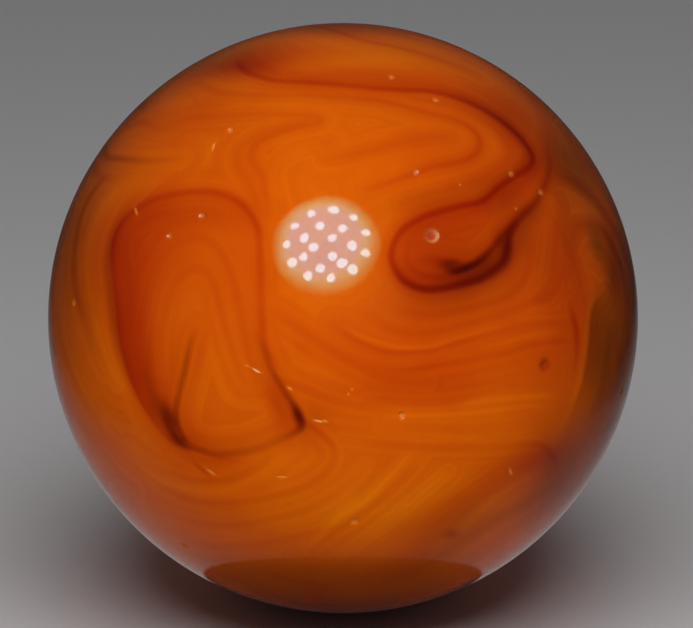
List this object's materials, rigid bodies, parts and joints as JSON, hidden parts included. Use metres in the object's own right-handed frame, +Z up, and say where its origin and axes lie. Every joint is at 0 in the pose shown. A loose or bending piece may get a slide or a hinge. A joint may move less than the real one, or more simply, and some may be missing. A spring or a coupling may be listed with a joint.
{
  "type": "glass marble",
  "caption": "Solid round glass playing marble with swirls of orange, amber and dark red glass and light surface wear.",
  "frame": {"origin": "centre of the ball", "axes": "+Z up, -Y towards the marked face, +X to its right"},
  "size_m": [0.016, 0.016, 0.016],
  "materials": {
    "swirl_glass": "polished opaque glass, swirled orange, amber and dark red"
  },
  "bodies": {
    "root": {"marble": "swirl_glass"}
  },
  "joints": []
}
